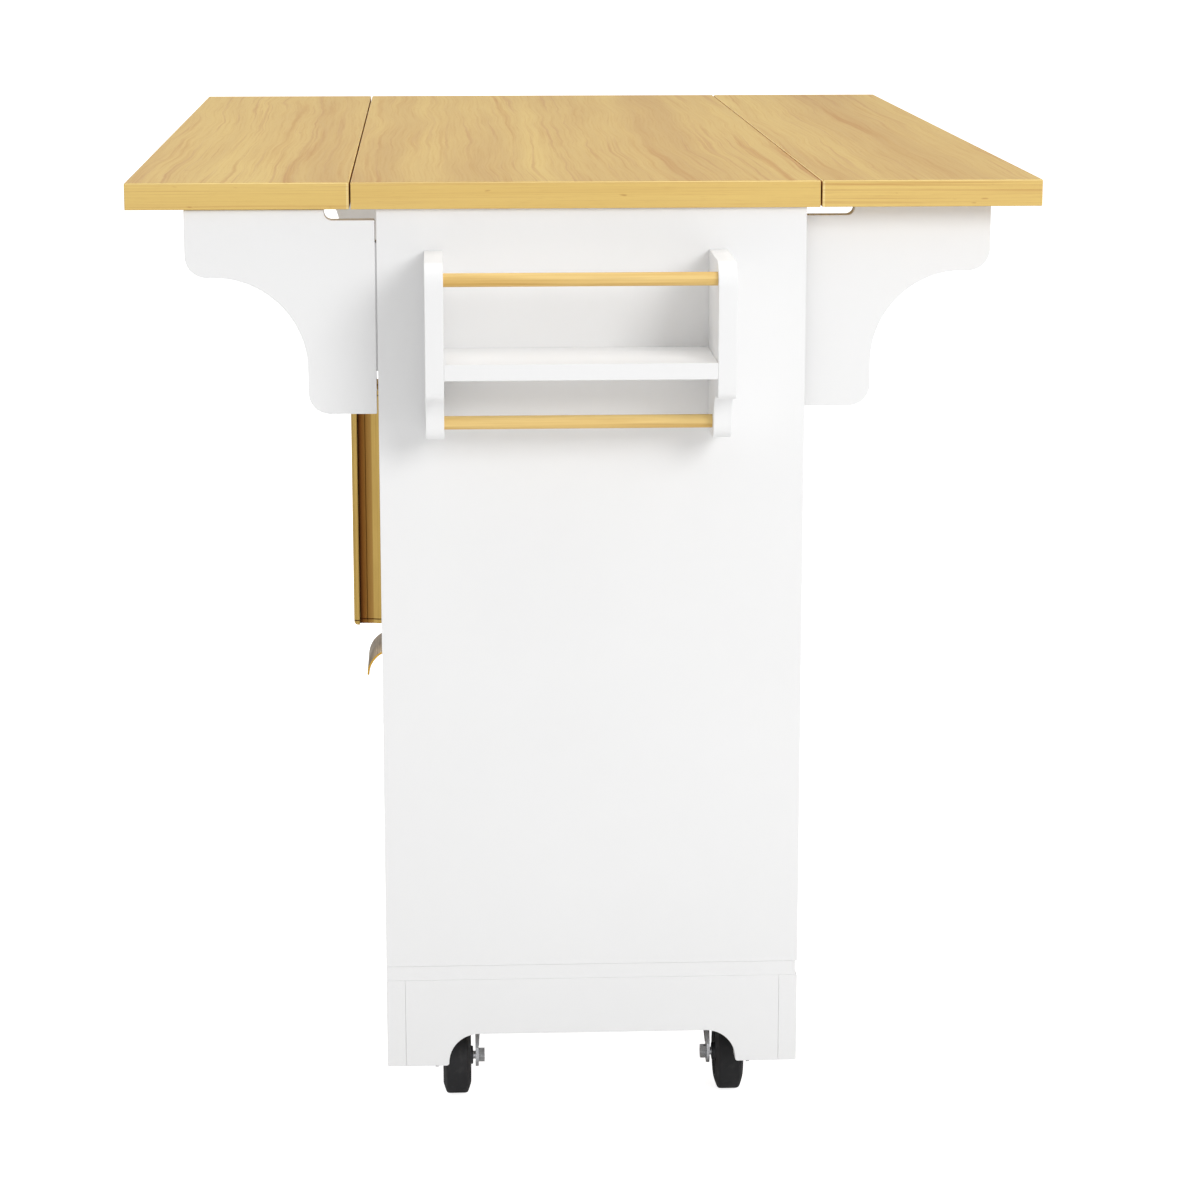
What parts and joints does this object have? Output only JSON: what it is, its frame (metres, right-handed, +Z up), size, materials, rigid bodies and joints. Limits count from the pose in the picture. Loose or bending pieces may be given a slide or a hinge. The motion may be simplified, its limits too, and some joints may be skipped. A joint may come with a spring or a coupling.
{
  "type": "kitchen island",
  "caption": "Rolling kitchen island with a wood worktop, drop leaves on swing-out brackets, doors, drawers and an end rack with a towel rod.",
  "frame": {"origin": "on the floor, under the middle of the bounding box with the leaves raised", "axes": "+X along the worktop towards the rack end, the door side faces -Y, +Z up"},
  "size_m": [1.325, 0.85, 0.915],
  "materials": {
    "oak_top": "satin light oak veneer",
    "oak_rod": "satin clear lacquer",
    "white_board": "satin white paint",
    "bare_timber": "plain sawn",
    "gold_pull": "brushed gold",
    "antique_brass": "aged satin",
    "steel": "bright",
    "zinc": "zinc plated",
    "black_rubber": "matte"
  },
  "bodies": {
    "cabinet": {"top_center": "oak_top", "end_panel_rack": "white_board", "end_panel_plain": "white_board", "partition": "white_board", "bottom_board": "white_board", "back_panel": "white_board", "top_rails": "white_board", "apron_front": "white_board", "apron_back": "white_board", "apron_ends": "white_board", "caster_beams": "bare_timber", "inner_shelf": "white_board", "shelf_pins": "steel", "door_pivots": "steel", "runner_tracks": "steel", "rack_side_front": "white_board", "rack_side_back": "white_board", "rack_ledge": "white_board", "rack_rods": "oak_rod", "leaf_hinge_plates": "steel", "bracket_hinge_plates": "steel", "hinge_pins": "steel", "caster_plates": "zinc"},
    "front_leaf": {"leaf_front": "oak_top", "leaf_front_hinges": "steel"},
    "back_leaf": {"leaf_back": "oak_top", "leaf_back_hinges": "steel"},
    "front_near_bracket": {"bracket_front_near": "white_board", "bracket_front_near_hinge": "steel"},
    "front_far_bracket": {"bracket_front_far": "white_board", "bracket_front_far_hinge": "steel"},
    "back_near_bracket": {"bracket_back_near": "white_board", "bracket_back_near_hinge": "steel"},
    "back_far_bracket": {"bracket_back_far": "white_board", "bracket_back_far_hinge": "steel"},
    "near_door": {"door_near": "white_board", "door_near_pull": "gold_pull"},
    "far_door": {"door_far": "white_board", "door_far_pull": "gold_pull"},
    "drawer_1": {"drawer_1_front": "white_board", "drawer_1_box": "white_board", "drawer_1_slides": "steel", "drawer_1_pull": "antique_brass"},
    "drawer_2": {"drawer_2_front": "white_board", "drawer_2_box": "white_board", "drawer_2_slides": "steel", "drawer_2_pull": "antique_brass"},
    "drawer_3": {"drawer_3_front": "white_board", "drawer_3_box": "white_board", "drawer_3_slides": "steel", "drawer_3_pull": "antique_brass"},
    "caster_front_near_yoke": {"caster_front_near_fork": "zinc"},
    "caster_front_near_roller": {"caster_front_near_wheel": "black_rubber"},
    "caster_front_far_yoke": {"caster_front_far_fork": "zinc"},
    "caster_front_far_roller": {"caster_front_far_wheel": "black_rubber"},
    "caster_back_near_yoke": {"caster_back_near_fork": "zinc"},
    "caster_back_near_roller": {"caster_back_near_wheel": "black_rubber"},
    "caster_back_far_yoke": {"caster_back_far_fork": "zinc"},
    "caster_back_far_roller": {"caster_back_far_wheel": "black_rubber"}
  },
  "joints": [
    {"name": "front_leaf_lift", "type": "hinge", "parent": "cabinet", "child": "front_leaf", "pos_m": [-0.0525, -0.21825, 0.8875], "axis": [-1, 0, 0], "range_deg": [0, 2]},
    {"name": "back_leaf_lift", "type": "hinge", "parent": "cabinet", "child": "back_leaf", "pos_m": [-0.0525, 0.21825, 0.8875], "axis": [1, 0, 0], "range_deg": [0, 2]},
    {"name": "front_near_bracket_fold", "type": "hinge", "parent": "cabinet", "child": "front_near_bracket", "pos_m": [0.537, -0.1973, 0.7885], "axis": [0, 0, 1], "range_deg": [-90, 0]},
    {"name": "front_far_bracket_fold", "type": "hinge", "parent": "cabinet", "child": "front_far_bracket", "pos_m": [-0.642, -0.1973, 0.7885], "axis": [0, 0, -1], "range_deg": [-90, 0]},
    {"name": "back_near_bracket_fold", "type": "hinge", "parent": "cabinet", "child": "back_near_bracket", "pos_m": [0.509, 0.1863, 0.7885], "axis": [0, 0, -1], "range_deg": [-90, 0]},
    {"name": "back_far_bracket_fold", "type": "hinge", "parent": "cabinet", "child": "back_far_bracket", "pos_m": [-0.614, 0.1863, 0.7885], "axis": [0, 0, 1], "range_deg": [-90, 0]},
    {"name": "near_door_swing", "type": "hinge", "parent": "cabinet", "child": "near_door", "pos_m": [0.525, -0.1855, 0.523], "axis": [0, 0, 1], "range_deg": [0, 90]},
    {"name": "far_door_swing", "type": "hinge", "parent": "cabinet", "child": "far_door", "pos_m": [0.008, -0.1855, 0.523], "axis": [0, 0, 1], "range_deg": [-90, 0]},
    {"name": "drawer_1_slide", "type": "slide", "parent": "cabinet", "child": "drawer_1", "axis": [0, -1, 0], "range_m": [0, 0.26]},
    {"name": "drawer_2_slide", "type": "slide", "parent": "cabinet", "child": "drawer_2", "axis": [0, -1, 0], "range_m": [0, 0.26]},
    {"name": "drawer_3_slide", "type": "slide", "parent": "cabinet", "child": "drawer_3", "axis": [0, -1, 0], "range_m": [0, 0.26]},
    {"name": "caster_front_near_swivel", "type": "hinge", "parent": "cabinet", "child": "caster_front_near_yoke", "pos_m": [0.4465, -0.1265, 0.092], "axis": [0, 0, 1], "continuous": true},
    {"name": "caster_front_near_roll", "type": "hinge", "parent": "caster_front_near_yoke", "child": "caster_front_near_roller", "pos_m": [0.4765, -0.1265, 0.0375], "axis": [0, 1, 0], "continuous": true},
    {"name": "caster_front_far_swivel", "type": "hinge", "parent": "cabinet", "child": "caster_front_far_yoke", "pos_m": [-0.5515, -0.1265, 0.092], "axis": [0, 0, 1], "continuous": true},
    {"name": "caster_front_far_roll", "type": "hinge", "parent": "caster_front_far_yoke", "child": "caster_front_far_roller", "pos_m": [-0.5215, -0.1265, 0.0375], "axis": [0, 1, 0], "continuous": true},
    {"name": "caster_back_near_swivel", "type": "hinge", "parent": "cabinet", "child": "caster_back_near_yoke", "pos_m": [0.4465, 0.1445, 0.092], "axis": [0, 0, 1], "continuous": true},
    {"name": "caster_back_near_roll", "type": "hinge", "parent": "caster_back_near_yoke", "child": "caster_back_near_roller", "pos_m": [0.4765, 0.1445, 0.0375], "axis": [0, 1, 0], "continuous": true},
    {"name": "caster_back_far_swivel", "type": "hinge", "parent": "cabinet", "child": "caster_back_far_yoke", "pos_m": [-0.5515, 0.1445, 0.092], "axis": [0, 0, 1], "continuous": true},
    {"name": "caster_back_far_roll", "type": "hinge", "parent": "caster_back_far_yoke", "child": "caster_back_far_roller", "pos_m": [-0.5215, 0.1445, 0.0375], "axis": [0, 1, 0], "continuous": true}
  ]
}
